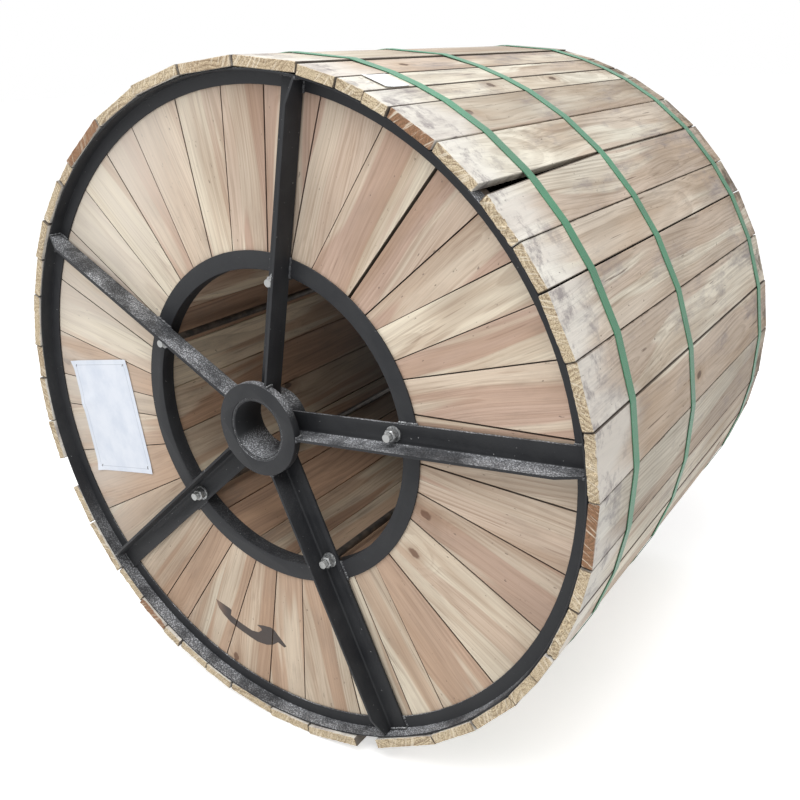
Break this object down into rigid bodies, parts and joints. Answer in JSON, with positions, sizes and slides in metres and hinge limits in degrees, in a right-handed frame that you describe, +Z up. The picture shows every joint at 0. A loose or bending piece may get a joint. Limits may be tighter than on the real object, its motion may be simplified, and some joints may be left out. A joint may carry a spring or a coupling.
{
  "type": "fiber optic cable reel",
  "caption": "Steel and timber cable drum on its side, spoked steel flange frames round radial boards, timber lagging held by green straps.",
  "frame": {"origin": "middle of the drum, on the axis of the bore", "axes": "+Y along the drum's axis from the front flange to the back one, +Z up, +X to the right seen from the front"},
  "size_m": [1.0858, 0.874, 1.0854],
  "materials": {
    "charcoal_steel": "matte charcoal paint, speckled where it faces up",
    "rod_steel": "dark steel",
    "zinc": "zinc plated",
    "flange_timber": "sawn pale boards",
    "barrel_timber": "sawn brown staves",
    "lagging_timber": "rough sawn, weathered",
    "green_strap": "embossed polyester",
    "paper": "plain paper",
    "cable_jacket": "black polyethylene"
  },
  "bodies": {
    "root": {"back_flange_boards": "flange_timber", "back_hub_pipe": "charcoal_steel", "back_hub_plate": "charcoal_steel", "back_inner_ring": "charcoal_steel", "back_rim_ring": "charcoal_steel", "back_spoke_1": "charcoal_steel", "back_spoke_2": "charcoal_steel", "back_spoke_3": "charcoal_steel", "back_spoke_4": "charcoal_steel", "back_spoke_5": "charcoal_steel", "back_strap": "green_strap", "barrel_staves": "barrel_timber", "cable_winding": "cable_jacket", "front_flange_boards": "flange_timber", "front_hub_pipe": "charcoal_steel", "front_hub_plate": "charcoal_steel", "front_inner_ring": "charcoal_steel", "front_rim_ring": "charcoal_steel", "front_spoke_1": "charcoal_steel", "front_spoke_2": "charcoal_steel", "front_spoke_3": "charcoal_steel", "front_spoke_4": "charcoal_steel", "front_spoke_5": "charcoal_steel", "front_strap": "green_strap", "label_sheet": "paper", "lagging_battens": "lagging_timber", "middle_strap": "green_strap", "paper_tag": "paper", "tie_rod_nuts": "zinc", "tie_rod_washers": "zinc", "tie_rods": "rod_steel"}
  },
  "joints": []
}
